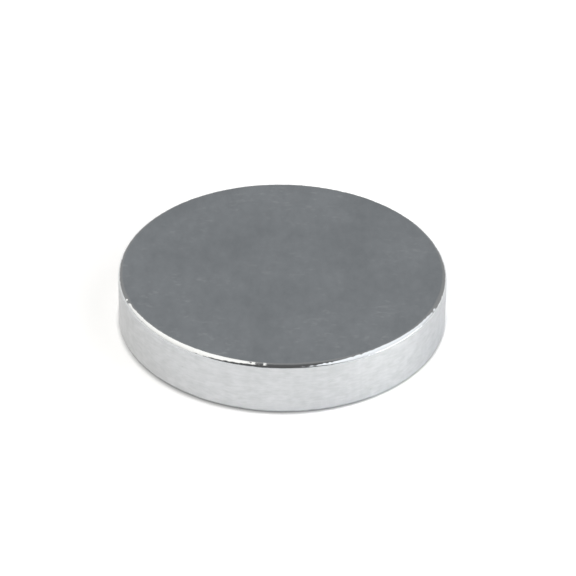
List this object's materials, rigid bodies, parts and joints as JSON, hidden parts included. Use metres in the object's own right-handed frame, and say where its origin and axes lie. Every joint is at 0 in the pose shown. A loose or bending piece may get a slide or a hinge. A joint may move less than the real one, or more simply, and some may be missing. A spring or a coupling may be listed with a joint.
{
  "type": "disc magnet",
  "caption": "Flat round disc magnet with bright nickel plating and rounded rims, for holding things to steel or for gluing into a round pocket.",
  "frame": {"origin": "centre of the lower flat face, on the surface that the disc rests on", "axes": "+Z along the disc's axis of symmetry, from the lower flat face to the upper one, which is also the direction of magnetisation; X and Y are any two directions across the disc"},
  "size_m": [0.02, 0.02, 0.0035],
  "materials": {
    "nickel_plate": "bright nickel plate over a ground and tumbled surface, satin on the flat faces and finely scuffed on the side wall"
  },
  "bodies": {
    "root": {"magnet_disc": "nickel_plate"}
  },
  "joints": []
}
